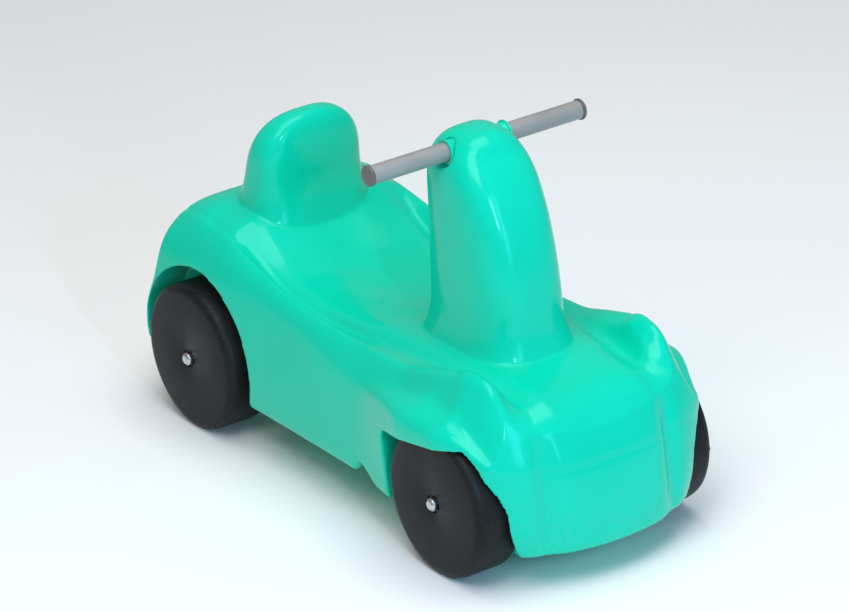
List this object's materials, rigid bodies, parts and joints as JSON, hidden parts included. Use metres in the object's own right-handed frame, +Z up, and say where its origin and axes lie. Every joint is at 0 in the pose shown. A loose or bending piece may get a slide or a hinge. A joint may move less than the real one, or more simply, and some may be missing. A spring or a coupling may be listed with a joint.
{
  "type": "toddler ride-on car",
  "caption": "Foot-driven toddler ride-on car: hollow moulded body with seat, backrest and steering column, fixed crossbar handle and free-rolling wheels on steel axles.",
  "frame": {"origin": "on the ground, under the middle of the car", "axes": "+Z up, -Y forwards (the nose), -X the car's right side"},
  "size_m": [0.302, 0.6434, 0.401],
  "materials": {
    "body_plastic": "teal moulded polyethylene, semi-gloss",
    "wheel_plastic": "dark grey moulded plastic, satin",
    "painted_tube": "warm grey powder coat on steel tube",
    "dark_fittings": "dark grey moulded plastic",
    "plated_steel": "zinc plated"
  },
  "bodies": {
    "chassis": {"body_shell": "body_plastic", "front_axle": "plated_steel", "axle_cap_front_left": "plated_steel", "washer_front_left": "plated_steel", "axle_bush_front_left": "dark_fittings", "axle_cap_front_right": "plated_steel", "washer_front_right": "plated_steel", "axle_bush_front_right": "dark_fittings", "rear_axle": "plated_steel", "axle_cap_rear_left": "plated_steel", "washer_rear_left": "plated_steel", "axle_bush_rear_left": "dark_fittings", "axle_cap_rear_right": "plated_steel", "washer_rear_right": "plated_steel", "axle_bush_rear_right": "dark_fittings", "handlebar": "painted_tube", "handlebar_cap_left": "dark_fittings", "handlebar_grommet_left": "body_plastic", "handlebar_cap_right": "dark_fittings", "handlebar_grommet_right": "body_plastic", "handlebar_screw": "plated_steel", "vent_plug": "dark_fittings"},
    "front_left_wheel": {"wheel_front_left": "wheel_plastic"},
    "front_right_wheel": {"wheel_front_right": "wheel_plastic"},
    "rear_left_wheel": {"wheel_rear_left": "wheel_plastic"},
    "rear_right_wheel": {"wheel_rear_right": "wheel_plastic"}
  },
  "joints": [
    {"name": "front_left_wheel_spin", "type": "hinge", "parent": "chassis", "child": "front_left_wheel", "pos_m": [0.117, -0.20725, 0.077], "axis": [1, 0, 0], "continuous": true},
    {"name": "front_right_wheel_spin", "type": "hinge", "parent": "chassis", "child": "front_right_wheel", "pos_m": [-0.117, -0.20725, 0.077], "axis": [1, 0, 0], "continuous": true},
    {"name": "rear_left_wheel_spin", "type": "hinge", "parent": "chassis", "child": "rear_left_wheel", "pos_m": [0.117, 0.22075, 0.077], "axis": [1, 0, 0], "continuous": true},
    {"name": "rear_right_wheel_spin", "type": "hinge", "parent": "chassis", "child": "rear_right_wheel", "pos_m": [-0.117, 0.22075, 0.077], "axis": [1, 0, 0], "continuous": true}
  ]
}
